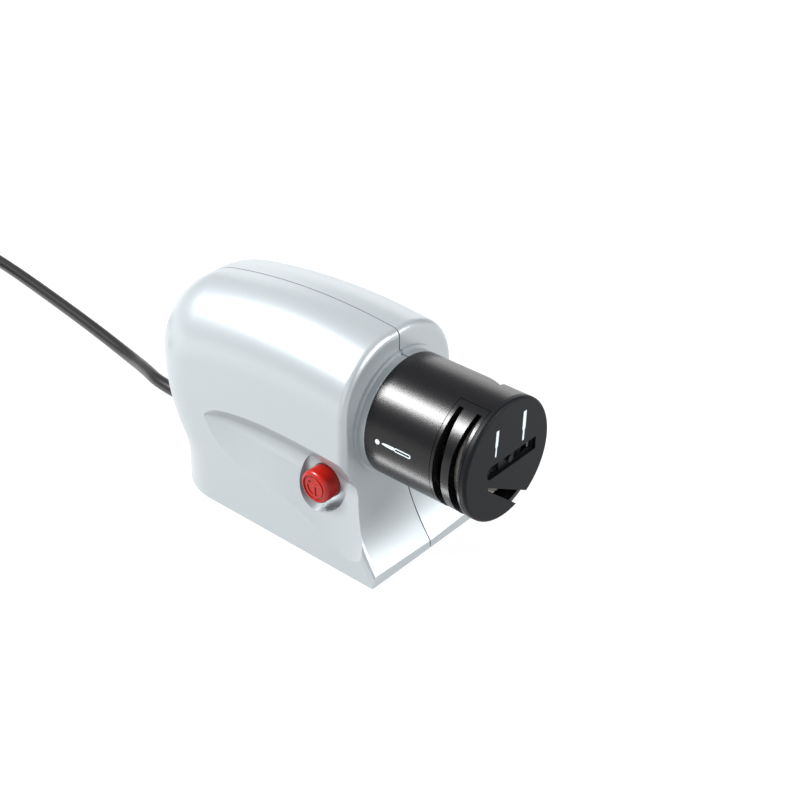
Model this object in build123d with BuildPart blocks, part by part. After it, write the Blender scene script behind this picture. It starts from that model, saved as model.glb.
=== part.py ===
"""Electric knife sharpener with a turning head, built piece by piece in millimetres.

X runs from the cord to the sharpening head, Y points away from the button's side and
Z is up.  The origin is the middle of the footprint, on the surface the feet stand on.
"""
import os
from math import acos, atan2, cos, degrees, radians, sin, tan

from build123d import *

os.makedirs("parts", exist_ok=True)

# ---------------------------------------------------------------- driving dimensions
# clearances
fit = 0.05                   # between pieces that are pressed or bolted together
running_fit = 0.02           # between a shaft and its bearing
turn_gap = 0.2               # round a piece that turns or slides by hand
piece_gap = 0.3              # between loose pieces that meet
seam_gap = 0.5               # between the two halves of the housing
overshoot = 1.0              # how far a cut runs past what it opens
side_cut = 60.0              # length of a sideways cut, longer than half the housing
# housing, seen from the side
overall_length = 167.4       # rear wall to the front of the head
button_height = 33.3         # middle of the button above the table
motor_rise = 26.7            # motor shaft above the button
crown_rise = 36.5            # top of the housing above the motor shaft
foot_height = 1.0            # how far the rubber feet stand out
wall = 2.4                   # moulded wall of the housing
face_setback = 52.4          # front of the head back to the housing's front face
toe_reach = 16.2             # how far the toe stands forward of that face
toe_height = 3.6             # upright edge at the end of the toe
flare_start = 52.0           # height where the face starts to curve towards the toe
crown_setback = 30.3         # front face back to the highest point
rear_radius = 69.5           # curve of the rear wall
rear_centre_drop = 42.6      # top of the housing down to the middle of that curve
rear_corner_radius = 34.0    # curve from the crown into the rear wall
rear_corner_turn = 5.0       # degrees above level where the corner meets the rear wall
rear_wall_turn = 33.0        # degrees below level where the rear wall ends at the waist
waist_radius = 8.0           # hollow curve from the rear wall into the upright plinth
# housing, seen from the front
half_width_top = 30.65       # half width where the rounded shoulder ends
shoulder_radius = 27.3       # rounding from the side wall over to the crown
draft = 2.26                 # degrees that each half leans out towards the base
rim_radius = 3.0             # rolled edge round the front face
band_overlap = 2.5           # how far the shoulder's band reaches into the core
# hand recess in each side: distance behind the face, upper and lower edge above the
# button, depth
recess_stations = [
    (75.6, 8.3, 6.9, 0.2),
    (70.0, 12.5, 0.1, 2.4),
    (60.0, 15.3, -5.1, 4.6),
    (43.0, 17.3, -9.0, 6.4),
    (22.0, 17.7, -12.5, 7.6),
    (-12.0, 16.7, -16.3, 8.2),
]
recess_deepest = 0.62        # where the deepest line lies, from lower to upper edge
recess_bottom_radius = 11.0
recess_blend = 1.6           # that radius where the recess is shallow, as a share of its depth
recess_reach = 10.0          # how far the cut stands outside the wall
# switch
button_setback = 15.1        # button axis behind the front face
button_radius = 7.0
button_length = 7.4          # how far the button stands out of its pocket
button_travel = 3.0
button_edge = 1.5
button_dish = 5.6            # radius of the dished face that holds the mark
dish_depth = 0.5
mark_depth = 0.35
mark_radius = 4.4            # ring of the raised mark
mark_width = 0.8
mark_chord = 1.2             # height of the mark's bar above its centre
button_flange = 8.6          # radius of the flange that keeps the button in
flange_thickness = 1.4
pocket_radius = 11.5
pocket_floor = 25.6          # distance of the pocket's floor from the centre plane
guide_tube_wall = 1.85
guide_tube_length = 2.2      # how far the guide tube stands behind the pocket's wall
switch_length = 19.8
switch_height = 6.4
switch_depth = 10.2
switch_setback = 12.5        # distance of the switch from the centre plane
plunger_radius = 1.2
plunger_engagement = 1.0     # length of plunger inside the switch at rest
bracket_thickness = 1.5
# neck
neck_length = 4.2            # neck ring in front of the face
collar_radius = 26.5
collar_length = 1.2
spigot_radius = 20.5         # tube that the index ring turns on
spigot_length = 11.0
bead_height = 0.9            # bead that keeps the index ring on the spigot
bead_length = 0.5
neck_bore = 17.5
front_bore = 15.1
carrier_shoulder = 1.7       # seat of the bearing carrier in front of the face
# sharpening head
head_radius = 25.0
head_wall = 2.0
cap_length = 2.6
cap_edge = 1.3
cap_spigot = 3.4             # ring of the cap that reaches into the sleeve
lining_radius = 21.6         # inside of the knife guide and of the cap's ring
index_wall = 2.1             # index ring inside the rear of the head
key_width = 3.0
key_height = 0.8
wheel_radius = 20.0
wheel_width = 4.0
wheel_chamfer = 0.5
wheel_setback = 9.5          # front of the head back to the middle of the wheel
# knife slots, each one side of the wheel; their edges are given from its middle
knife_slot_turn = 65.0       # degrees above and below level where the slots end
slot_inner = 1.8
slot_outer = 5.8
slot_inner_top = 3.0         # the same edges at the upper end, where the slots are narrower
slot_outer_top = 5.2
slot_narrows = 10.0          # height above the shaft where they start to narrow
land_width = 1.2             # guide behind the rear slot
land_turn = 7.0              # degrees of guide beyond each end of the slots
guide_seam = 0.25
lip_length = 2.0             # hidden lip of the guide behind the sleeve
lip_turn = 3.0
# screwdriver groove and openings in the cap, as (y, z) from the motor axis
groove_left, groove_right = -12.0, 17.0
groove_bottom, groove_top = -3.5, 2.0
groove_depth = 1.5
groove_corner = 2.2
left_opening = (-6.4, -1.25, 5.6, 4.3)     # centre y, centre z, width, height
right_opening = (10.75, -1.2, 10.3, 3.6)
stud_place = (2.0, -0.6)
stud_radius = 1.3
# scissor slot: a mouth in the cap that widens to the rim, a slit that slopes back from
# it through the sleeve, and a notch where the slit comes out on the far side
mouth_start_top = (-11.4, -6.4)            # corners as (y, z) from the motor axis
mouth_start_bottom = (-11.0, -8.2)
mouth_end_top = (18.4, -23.9)
mouth_end_bottom = (11.4, -27.6)
scissor_slot = 1.8
scissor_start = (0.0, -11.2, -7.3)         # from the middle of the head's front
scissor_inward = (-0.333, 0.607, 0.723)    # from there to the notch
scissor_outward = (0.0, 0.812, -0.584)     # from there to the rim
notch_turn = 130.0           # degrees from the button's side over the top to the notch
notch_depth = 4.5
# corners: distance behind the head's front, distance down the far side
notch_corners = [(11.8, -7.7), (23.7, 0.0), (23.7, 8.5), (12.7, 8.5), (13.9, 0.0)]
# drive
shaft_radius = 2.5
can_radius = 21.0
can_length = 54.0
can_wall = 1.5
can_gap = 6.9                # motor front behind the inside of the front wall
can_boss_length = 3.5
magnet_thickness = 4.8
magnet_parting = 16.0        # gap between the two magnets
magnet_overhang = 2.0
air_gap = 0.6
rotor_length = 30.0
rotor_slots = 7
rotor_slot_radius = 2.3
rotor_slot_circle = 9.5
winding_overhang = 4.0
winding_gap = 2.0            # between the windings and the commutator
commutator_gap = 1.0         # between the commutator and the end bell
commutator_radius = 5.0
commutator_length = 7.0
bush_radius = 5.0
bush_length = 6.0
bell_thickness = 4.0
bell_spigot = 3.0
bell_boss_length = 5.0
shaft_behind_bell = 1.5
brush_width = 5.0
brush_height = 4.0
brush_length = 9.0
brush_holder_wall = 1.2
brush_holder_start = 7.0
bearing_radius = 8.0
bearing_width = 5.0
carrier_length = 8.9
carrier_hub = 11.5
carrier_rim = 14.5
carrier_web = 3.9
carrier_lip = 6.0
seal_thickness = 2.2
wheel_flange_radius = 7.5
wheel_flange_length = 6.65
wheel_hub_radius = 5.0
wheel_hub_length = 4.0
washer_radius = 6.0
washer_thickness = 1.0
nut_across_flats = 8.0
nut_height = 2.0
shaft_beyond_nut = 0.9
damper_radius = 24.0         # bottom of the damper's groove
damper_flange = 25.5
damper_width = 6.0
rear_damper_setback = 7.0    # from the rear of the can
front_damper_setback = 21.0  # from the front of the can
rib_thickness = 3.0
rib_reach = 26.0             # of the ribs above and below the motor shaft
# fasteners
screw_radius = 1.5
screw_head_radius = 2.9
screw_head_height = 2.0
screw_length = 19.0
screw_head_seat = 8.0        # distance of the heads from the centre plane
screw_clearance = 0.2
head_pocket_clearance = 0.5
boss_radius = 4.6
# places of the housing's screws
rear_screw_setback = 17.7    # ahead of the rear wall, level with the motor shaft
upper_screw_setback = 37.7
upper_screw_drop = 15.5      # below the top of the housing
crown_screw_setback = 11.3   # behind the front face
crown_screw_drop = 9.5
toe_screw_reach = 3.2        # ahead of the front face
toe_screw_rise = 9.0         # above the base
low_screw_reach = 11.8       # ahead of the clamp
low_screw_drop = 30.0        # below the motor shaft
# feet and vents
foot_radius = 5.0
foot_thickness = 2.2
foot_edge = 0.4
front_foot_reach = 4.7       # ahead of the front face
rear_foot_setback = 29.7     # ahead of the rear wall
foot_half_track_front = 24.0
foot_half_track_rear = 22.0
vent_width = 2.2
vent_length = 14.0
vent_pitch = 5.0
vent_count = 6
vent_offset = 11.0           # middle of the vents from the centre plane
# board
board_x = -34.0              # rear edge of the board
board_length = 40.0
board_width = 26.0
board_thickness = 1.6
board_height = 12.0
post_radius = 2.5
post_inset = 4.0
board_screw_radius = 1.1
board_screw_head = 2.2
board_screw_head_height = 1.5
board_screw_length = 7.0
bridge_size = (14.0, 3.5, 11.0)
bridge_place = (18.0, -8.0)  # from the rear edge of the board, from the centre plane
capacitor_size = (18.0, 8.0, 14.0)
capacitor_place = (21.0, 4.0)
capacitor_edge = 0.8
wire_radius = 0.8
wire_bend = 2.0
mains_wire_rise = 6.4        # over the board
mains_wire_step = 3.5        # straight run before each bend
mains_pad = 3.0              # from the rear edge of the board
motor_lead_rise = 7.0        # over the board
motor_lead_drop = 10.0       # below the motor shaft
motor_lead_gap = 3.0         # between the end bell and the lead's bend
motor_pad = 9.0              # from the rear edge of the board
switch_tab = 3.2             # from the button's axis
switch_lead_step = 1.5       # of each lead off the middle of the switch
switch_lead_rises = (4.4, 8.4)
switch_pads = (8.0, 12.0)    # from the front edge of the board
# mains lead
cord_radius = 3.0
cord_height = 13.0           # where the lead leaves the rear wall
clamp_setback = 24.7         # clamp ahead of the rear wall
clamp_length = 6.0
clamp_half_width = 9.0
clamp_height = 5.5           # top of the clamp above the middle of the lead
clamp_screw_y = 6.3
clamp_screw_length = 14.0
tail_length = 7.0            # lead beyond the clamp, where it is stripped
relief_length = 24.0
relief_tip_radius = 3.8
relief_root_radius = 5.0
relief_flange_radius = 6.5
relief_flange_thickness = 2.0
relief_grooves = 5
relief_groove_width = 1.3
relief_groove_depth = 0.5
coil_radii = (27.0, 33.0, 39.0)
coil_lift = 6.2              # height of the upper layer over the lower one
coil_stub = 24.0             # straight lead before the first turn
coil_end_stub = 12.0         # and after the last one
tie_width = 8.0
tie_thickness = 1.0
plug_length = 36.0
plug_width = 35.0
plug_height = 14.0
plug_edge = 5.5
plug_straight = 15.0
plug_neck = 5.0
pin_radius = 2.0
pin_length = 19.0
pin_spacing = 18.6

# ------------------------------------------------------------------- derived stations
axis_height = button_height + motor_rise
crown_height = axis_height + crown_rise
rear_centre_height = crown_height - rear_centre_drop
head_front = overall_length / 2
rear_x = -overall_length / 2
face_x = head_front - face_setback
toe_x = face_x + toe_reach
toe_top = foot_height + toe_height
crown_x = face_x - crown_setback
lean = radians(draft)
flare_radius = (toe_reach**2 + (flare_start - toe_top) ** 2) / (2 * toe_reach)
rear_centre = (rear_x + rear_radius, rear_centre_height)
corner_turn = radians(180 - rear_corner_turn)
corner_centre = (
    rear_centre[0] + (rear_radius - rear_corner_radius) * cos(corner_turn),
    rear_centre[1] + (rear_radius - rear_corner_radius) * sin(corner_turn),
)
corner_dx = corner_centre[0] - crown_x
corner_dz = corner_centre[1] - crown_height
crown_radius = (rear_corner_radius**2 - corner_dx**2 - corner_dz**2) / (
    2 * (corner_dz + rear_corner_radius)
)
crown_centre = (crown_x, crown_height - crown_radius)
corner_start = degrees(
    atan2(corner_centre[1] - crown_centre[1], corner_centre[0] - crown_centre[0])
)
rear_wall_end = radians(180 + rear_wall_turn)
plinth_x = (
    rear_centre[0]
    + (rear_radius + waist_radius) * cos(rear_wall_end)
    + waist_radius
)
floor_top = foot_height + wall
neck_front = face_x + neck_length
spigot_end = neck_front + spigot_length
sleeve_back = neck_front + piece_gap
sleeve_bore = head_radius - head_wall
cap_back = head_front - cap_length
index_bore = spigot_radius + turn_gap
index_radius = index_bore + index_wall
wheel_x = head_front - wheel_setback
wheel_back = wheel_x - wheel_width / 2
wheel_front = wheel_x + wheel_width / 2
button_x = face_x - button_setback
button_face = -(pocket_floor + button_length)
pocket_back = -(pocket_floor - wall)
guide_tube_end = pocket_back + guide_tube_length
can_front = face_x - wall - can_gap
can_back = can_front - can_length
can_bore = can_radius - can_wall
magnet_bore = can_bore - magnet_thickness
rotor_radius = magnet_bore - air_gap
commutator_back = can_back + commutator_gap
rotor_back = commutator_back + commutator_length + winding_gap + winding_overhang
rotor_front = rotor_back + rotor_length
damper_xs = (can_back + rear_damper_setback, can_front - front_damper_setback)
carrier_back = face_x + carrier_shoulder
carrier_front = carrier_back + carrier_length
board_top = board_height + board_thickness
axis_line = Axis((0, 0, axis_height), (1, 0, 0))
clamp_x = rear_x + clamp_setback
tail_end = clamp_x + tail_length
screw_points = [
    (rear_x + rear_screw_setback, axis_height),
    (rear_x + upper_screw_setback, crown_height - upper_screw_drop),
    (face_x - crown_screw_setback, crown_height - crown_screw_drop),
    (face_x + toe_screw_reach, foot_height + toe_screw_rise),
    (clamp_x + low_screw_reach, axis_height - low_screw_drop),
]
front_foot_x = face_x + front_foot_reach
rear_foot_x = rear_x + rear_foot_setback
foot_points = {
    "front_button_side_foot": (front_foot_x, -foot_half_track_front),
    "front_plain_side_foot": (front_foot_x, foot_half_track_front),
    "rear_button_side_foot": (rear_foot_x, -foot_half_track_rear),
    "rear_plain_side_foot": (rear_foot_x, foot_half_track_rear),
}
foot_recess = foot_thickness - foot_height
post_y = board_width / 2 - post_inset
post_xs = (board_x + post_inset, board_x + board_length - post_inset)


def side_wall(height):
    """Y of the -Y side wall at a height."""
    return -(half_width_top + (crown_height - height) * tan(lean)) / cos(lean)


def ring_plane(x):
    """Plane across the motor axis: its x runs to +Y and its y to +Z."""
    return Plane(origin=(x, 0, axis_height), x_dir=(0, 1, 0), z_dir=(1, 0, 0))


def turned(start, end, outer, inner=0.0):
    """Plain ring or disc on the motor axis from x = start to x = end."""
    with BuildPart() as piece:
        with BuildSketch(ring_plane(start)):
            Circle(outer)
            if inner:
                Circle(inner, mode=Mode.SUBTRACT)
        extrude(amount=end - start)
    return piece.part


def finish(part, name):
    """Name a finished piece and write it out."""
    part.label = name
    export_step(part, f"parts/{name}.step")


# --------------------------------------------------------------------------- housing
def back_curve(inset, start_x):
    """Centre-plane outline over the crown and down the rear, moved in by inset."""
    radius = crown_radius - inset
    start = degrees(acos((start_x - crown_x) / radius))
    CenterArc(crown_centre, radius, start, corner_start - start)
    CenterArc(
        corner_centre,
        rear_corner_radius - inset,
        corner_start,
        180 - rear_corner_turn - corner_start,
    )
    rear = CenterArc(
        rear_centre,
        rear_radius - inset,
        180 - rear_corner_turn,
        rear_corner_turn + rear_wall_turn,
    )
    waist = JernArc(rear @ 1, rear % 1, waist_radius + inset, -rear_wall_turn)
    Line(waist @ 1, ((waist @ 1).X, -wall))


def housing_half(inset):
    """Solid form of the -Y half, moved in by inset on every outer side.

    The rounded shoulder is one section carried along the back curve; a core fills what
    lies behind it.  Both are drawn upright and then leaned out by the draft.
    """
    front = face_x - inset
    side = half_width_top - inset
    radius = shoulder_radius - inset
    past_centre = 8.0
    band_depth = shoulder_radius + band_overlap - inset
    with BuildPart() as band:
        with BuildLine(Plane.XZ) as spine:
            back_curve(inset, front + band_depth / 2)
        start = spine.wire()
        section = Plane(origin=start @ 0, x_dir=(0, -1, 0), z_dir=start % 0)
        with BuildSketch(section):
            with BuildLine():
                flat_end = side - radius * (1 - sin(lean))
                top = Line(
                    (-past_centre, past_centre * tan(lean)),
                    (flat_end, -flat_end * tan(lean)),
                )
                shoulder = JernArc(top @ 1, top % 1, radius, -(90 - draft))
                Polyline(
                    shoulder @ 1,
                    ((shoulder @ 1).X, -band_depth),
                    (-past_centre, -band_depth),
                    top @ 0,
                )
            make_face()
        sweep()
        split(bisect_by=Plane.YZ.offset(front), keep=Keep.BOTTOM)
    with BuildPart() as core:
        with BuildSketch(Plane.XZ) as profile:
            with BuildLine() as back:
                back_curve(shoulder_radius + band_overlap / 2, front)
                ends = back.wire()
                flare = flare_radius + inset
                flare_centre = face_x + flare_radius
                toe = toe_x - inset
                sweep_angle = degrees(acos((flare_centre - toe) / flare))
                Line(ends @ 0, (front, flare_start))
                CenterArc((flare_centre, flare_start), flare, 180, sweep_angle)
                Polyline(
                    (toe, flare_start - flare * sin(radians(sweep_angle))),
                    (toe, -wall),
                    ends @ 1,
                )
            make_face()
        extrude(amount=side)
        extrude(profile.sketch, amount=-past_centre)
    with BuildPart() as upright:
        add(band.part)
        add(core.part)
    hinge = Axis((0, 0, crown_height), (1, 0, 0))
    leaned = upright.part.rotate(hinge, -draft)
    with BuildPart() as half:
        add(leaned)
        split(bisect_by=Plane.XZ.offset(seam_gap / 2), keep=Keep.TOP)
        split(bisect_by=Plane.XY.offset(foot_height + inset), keep=Keep.TOP)
    return half.part


def recess_cutter(grow):
    """Spoon-shaped hand recess, widened by grow for the inside of the wall."""
    with BuildPart() as cutter:
        for setback, above, below, depth in recess_stations:
            upper, lower = button_height + above, button_height + below
            deepest = lower + recess_deepest * (upper - lower)
            bottom = (side_wall(deepest) + depth, deepest)
            up_slope = (upper - deepest) / depth
            low_slope = (deepest - lower) / depth
            out = side_wall(deepest) - recess_reach
            with BuildSketch(Plane.YZ.offset(face_x - setback)) as station:
                with BuildLine():
                    Polyline(
                        (out, deepest + up_slope * (depth + recess_reach)),
                        bottom,
                        (out, deepest - low_slope * (depth + recess_reach)),
                        close=True,
                    )
                make_face()
                point = station.vertices().sort_by(Axis.X)[-1]
                fillet(point, min(recess_bottom_radius, depth * recess_blend))
                if grow:
                    offset(amount=grow, kind=Kind.INTERSECTION)
        loft()
    return cutter.part


def pocket_cutter(grow):
    """Round pocket for the button, open to the side."""
    with BuildPart() as cutter:
        with BuildSketch(
            Plane(origin=(button_x, -side_cut, button_height), x_dir=(1, 0, 0), z_dir=(0, 1, 0))
        ):
            Circle(pocket_radius + grow)
        extrude(amount=side_cut - pocket_floor + grow)
    return cutter.part


outer_form = housing_half(0)
inner_form = housing_half(wall)
with BuildPart() as skin_builder:
    add(housing_half(wall / 2))
    add(recess_cutter(wall / 2), mode=Mode.SUBTRACT)
rib_space = skin_builder.part


def trimmed_to_skin(part, keep_pocket):
    """Cut a rib or boss off inside the thickness of the housing wall."""
    with BuildPart() as trimmed:
        add(part)
        add(rib_space, mode=Mode.INTERSECT)
        if keep_pocket:
            add(pocket_cutter(wall / 2), mode=Mode.SUBTRACT)
    return trimmed.part


def across(x, z, radius, start, end):
    """Round bar along Y from y = start to y = end."""
    with BuildPart() as bar:
        with BuildSketch(Plane(origin=(x, start, z), x_dir=(1, 0, 0), z_dir=(0, 1, 0))):
            Circle(radius)
        extrude(amount=end - start)
    return bar.part


def revolved(corners):
    """Solid of revolution about the motor axis from its (x, radius) corners."""
    with BuildPart() as piece:
        with BuildSketch(Plane.XZ):
            with BuildLine():
                Polyline(*[(x, axis_height + radius) for x, radius in corners], close=True)
            make_face()
        revolve(axis=axis_line)
    return piece.part


def sector(start, end, inner, outer, low, high):
    """Curved block on the motor axis; angles run upwards from the button's side."""
    with BuildPart() as piece:
        with BuildSketch(ring_plane(start)):
            with BuildLine():
                outside = CenterArc((0, 0), outer, 180 - high, high - low)
                inside = CenterArc((0, 0), inner, 180 - high, high - low)
                Line(outside @ 0, inside @ 0)
                Line(outside @ 1, inside @ 1)
            make_face()
        extrude(amount=end - start)
    return piece.part


def block(x, y, z, length, width, height):
    """Box with its middle at x, y and its underside at z."""
    with BuildPart() as piece:
        with BuildSketch(Plane.XY.offset(z)):
            with Locations((x, y)):
                Rectangle(length, width)
        extrude(amount=height)
    return piece.part


def pillar(x, y, z, radius, height):
    """Upright round bar that stands on height z."""
    with BuildPart() as piece:
        with BuildSketch(Plane.XY.offset(z)):
            with Locations((x, y)):
                Circle(radius)
        extrude(amount=height)
    return piece.part


def bar_along(start, end, radius):
    """Round bar along X on the lead's axis."""
    with BuildPart() as piece:
        with BuildSketch(Plane(origin=(start, 0, cord_height), x_dir=(0, 1, 0), z_dir=(1, 0, 0))):
            Circle(radius)
        extrude(amount=end - start)
    return piece.part


def cable(route, radius, bends):
    """Round cable along straight runs joined by arcs."""
    with BuildPart() as piece:
        with BuildLine() as path:
            FilletPolyline(*route, radius=bends)
        line = path.wire()
        with BuildSketch(Plane(origin=line @ 0, z_dir=line % 0)):
            Circle(radius)
        sweep(path=line)
    return piece.part


def housing_shell(button_side):
    """One half of the housing, built on the -Y side."""
    with BuildPart() as shell:
        add(outer_form)
        rim = (
            shell.edges()
            .filter_by(lambda e: (e @ 0.5).X > face_x - fit and (e @ 0.5).Z > toe_top)
            .filter_by(lambda e: (e @ 0.5).Y < -rim_radius and (e @ 0.5).X < toe_x - rim_radius)
        )
        fillet(rim, rim_radius)
        add(recess_cutter(0), mode=Mode.SUBTRACT)
        # neck ring, its collar and the spigot that the head turns on
        for start, end, radius in (
            (face_x - wall, face_x + collar_length, collar_radius),
            (face_x - wall, neck_front, head_radius),
            (face_x - wall, spigot_end, spigot_radius),
            (spigot_end - bead_length, spigot_end, spigot_radius + bead_height),
        ):
            with BuildSketch(ring_plane(start)):
                with BuildLine():
                    CenterArc((0, 0), radius, 90, 180)
                    Line((0, -radius), (0, radius))
                make_face()
            extrude(amount=end - start)
        if button_side:
            add(pocket_cutter(0), mode=Mode.SUBTRACT)
        with BuildPart(mode=Mode.PRIVATE) as cavity:
            add(inner_form)
            add(recess_cutter(wall), mode=Mode.SUBTRACT)
            if button_side:
                add(pocket_cutter(wall), mode=Mode.SUBTRACT)
        add(cavity.part, mode=Mode.SUBTRACT)
        # saddle ribs round the motor
        for x in damper_xs:
            low = axis_height - rib_reach
            saddle = turned(x - rib_thickness, x + rib_thickness, damper_radius + fit)
            with BuildPart(mode=Mode.PRIVATE) as rib:
                add(block(x, -side_cut / 2, low, rib_thickness, side_cut, 2 * rib_reach))
                add(saddle, mode=Mode.SUBTRACT)
            add(trimmed_to_skin(rib.part, button_side))
        split(bisect_by=Plane.XZ.offset(seam_gap / 2), keep=Keep.TOP)
        # screw bosses, which meet on the centre plane
        for x, z in screw_points:
            add(trimmed_to_skin(across(x, z, boss_radius, -side_cut, -seam_gap / 2), False))
            add(across(x, z, boss_radius, -seam_gap, 0))
        # posts for the circuit board
        for x in post_xs:
            add(pillar(x, -post_y, floor_top - fit, post_radius, board_height - floor_top + fit))
            drill = board_screw_length - board_thickness + fit
            add(
                pillar(x, -post_y, board_height - drill, board_screw_radius + running_fit, drill),
                mode=Mode.SUBTRACT,
            )
        # seat under the lead
        seat_top = cord_height - cord_radius - fit
        seat_width = clamp_half_width - seam_gap / 2
        add(
            block(
                clamp_x,
                -seam_gap / 2 - seat_width / 2,
                floor_top - fit,
                clamp_length,
                seat_width,
                seat_top - floor_top + fit,
            )
        )
        clamp_drill = clamp_screw_length - clamp_height - cord_height + seat_top + 2 * fit
        add(
            pillar(
                clamp_x,
                -clamp_screw_y,
                seat_top - clamp_drill,
                screw_radius + running_fit,
                clamp_drill,
            ),
            mode=Mode.SUBTRACT,
        )
        # bores on the motor axis
        add(turned(face_x - 2 * wall, neck_front, front_bore), mode=Mode.SUBTRACT)
        add(turned(carrier_back, spigot_end + overshoot, neck_bore), mode=Mode.SUBTRACT)
        # way in for the lead
        entry_depth = 2 * relief_root_radius
        add(
            bar_along(plinth_x - entry_depth, plinth_x + wall + fit, relief_root_radius + fit),
            mode=Mode.SUBTRACT,
        )
        # recesses for the feet and vents in the floor
        for x, y in foot_points.values():
            if y < 0:
                add(pillar(x, y, foot_height, foot_radius + fit, foot_recess + fit), mode=Mode.SUBTRACT)
        with BuildSketch(Plane.XY.offset(foot_height)):
            with Locations((board_x + board_length / 2, -vent_offset)):
                with GridLocations(vent_pitch, 1, vent_count, 1):
                    SlotOverall(vent_length, vent_width, rotation=90)
        extrude(amount=wall, mode=Mode.SUBTRACT)
        if button_side:
            # guide tube for the button
            bore = button_radius + turn_gap
            add(across(button_x, button_height, bore + guide_tube_wall, -pocket_floor, guide_tube_end))
            add(across(button_x, button_height, bore, -side_cut, guide_tube_end), mode=Mode.SUBTRACT)
            thread = screw_length - screw_head_seat + fit
            for x, z in screw_points:
                add(across(x, z, screw_radius + running_fit, -thread, 0), mode=Mode.SUBTRACT)
        else:
            pocket = screw_head_radius + head_pocket_clearance
            for x, z in screw_points:
                add(across(x, z, screw_radius + screw_clearance, -side_cut, 0), mode=Mode.SUBTRACT)
                add(across(x, z, pocket, -side_cut, -screw_head_seat), mode=Mode.SUBTRACT)
    return shell.part


finish(housing_shell(True), "button_side_shell")
finish(housing_shell(False).mirror(Plane.XZ), "plain_side_shell")

with BuildPart() as housing_screws:
    for x, z in screw_points:
        end = screw_head_seat - screw_length
        add(across(x, z, screw_radius, end, screw_head_seat))
        add(across(x, z, screw_head_radius, screw_head_seat, screw_head_seat + screw_head_height))
finish(housing_screws.part, "housing_screws")

for foot_name, (x, y) in foot_points.items():
    with BuildPart() as foot:
        add(pillar(x, y, 0, foot_radius, foot_thickness))
        fillet(foot.edges().filter_by(GeomType.CIRCLE).sort_by(Axis.Z)[0], foot_edge)
    finish(foot.part, foot_name)


# ------------------------------------------------------------------- sharpening head
slit_plane = Plane(
    origin=Vector(head_front, 0, axis_height) + Vector(*scissor_start),
    x_dir=scissor_outward,
    z_dir=Vector(*scissor_outward).cross(Vector(*scissor_inward)),
)
notch_out = (0, -cos(radians(notch_turn)), sin(radians(notch_turn)))
notch_plane = Plane(
    origin=Vector(head_front, 0, axis_height) + Vector(*notch_out) * head_radius,
    x_dir=(1, 0, 0),
    z_dir=notch_out,
)
with BuildPart() as scissor_cutter:
    with BuildSketch(slit_plane.offset(-scissor_slot / 2)):
        with Locations((side_cut / 2, side_cut / 2 - head_radius)):
            Rectangle(side_cut, side_cut)
    extrude(amount=scissor_slot)
    with BuildSketch(notch_plane):
        with BuildLine():
            Polyline(*[(-setback, down) for setback, down in notch_corners], close=True)
        make_face()
    extrude(amount=-notch_depth)

guide_turn = knife_slot_turn + land_turn
seam_turn = degrees(guide_seam / head_radius)
guide_back = wheel_x - slot_outer - land_width
lip_radius = sleeve_bore - fit
lip_end = guide_turn + lip_turn

with BuildPart() as head_sleeve:
    add(turned(sleeve_back, cap_back, head_radius, sleeve_bore))
    add(
        sector(
            guide_back - guide_seam,
            cap_back + overshoot,
            lining_radius,
            head_radius + overshoot,
            -guide_turn - seam_turn,
            guide_turn + seam_turn,
        ),
        mode=Mode.SUBTRACT,
    )
    # grooves that the keys of the index ring slide in
    with BuildSketch(ring_plane(sleeve_back)):
        Rectangle(2 * (sleeve_bore + key_height), key_width + 2 * turn_gap)
    extrude(amount=spigot_length + piece_gap, mode=Mode.SUBTRACT)
    add(scissor_cutter.part, mode=Mode.SUBTRACT)
finish(head_sleeve.part, "head_sleeve")

slot_low = axis_height - head_radius - overshoot
slot_bend = axis_height + slot_narrows
slot_high = axis_height + head_radius + overshoot
slot_top = axis_height + head_radius * sin(radians(knife_slot_turn))
past_top = (slot_high - slot_bend) / (slot_top - slot_bend)
slot_reach = head_radius + overshoot
with BuildPart() as knife_guide:
    add(
        sector(
            guide_back, cap_back - guide_seam, lining_radius, head_radius, -guide_turn, guide_turn
        )
    )
    add(sector(guide_back - lip_length, cap_back - fit, lining_radius, lip_radius, -lip_end, lip_end))
    for side in (-1, 1):
        with BuildPart(mode=Mode.PRIVATE) as knife_slot:
            add(
                sector(
                    wheel_x - slot_reach,
                    wheel_x + slot_reach,
                    lining_radius - overshoot,
                    slot_reach,
                    -knife_slot_turn,
                    knife_slot_turn,
                )
            )
            edges = []
            for edge, edge_top in ((slot_inner, slot_inner_top), (slot_outer, slot_outer_top)):
                edge_high = edge + (edge_top - edge) * past_top
                for distance, z in ((edge, slot_low), (edge, slot_bend), (edge_high, slot_high)):
                    edges.append((wheel_x + side * distance, z))
            with BuildSketch(Plane.XZ):
                with BuildLine():
                    Polyline(*edges[:3], *edges[:2:-1], close=True)
                make_face()
            extrude(amount=slot_reach, mode=Mode.INTERSECT)
        add(knife_slot.part, mode=Mode.SUBTRACT)
finish(knife_guide.part, "knife_guide")

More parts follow.
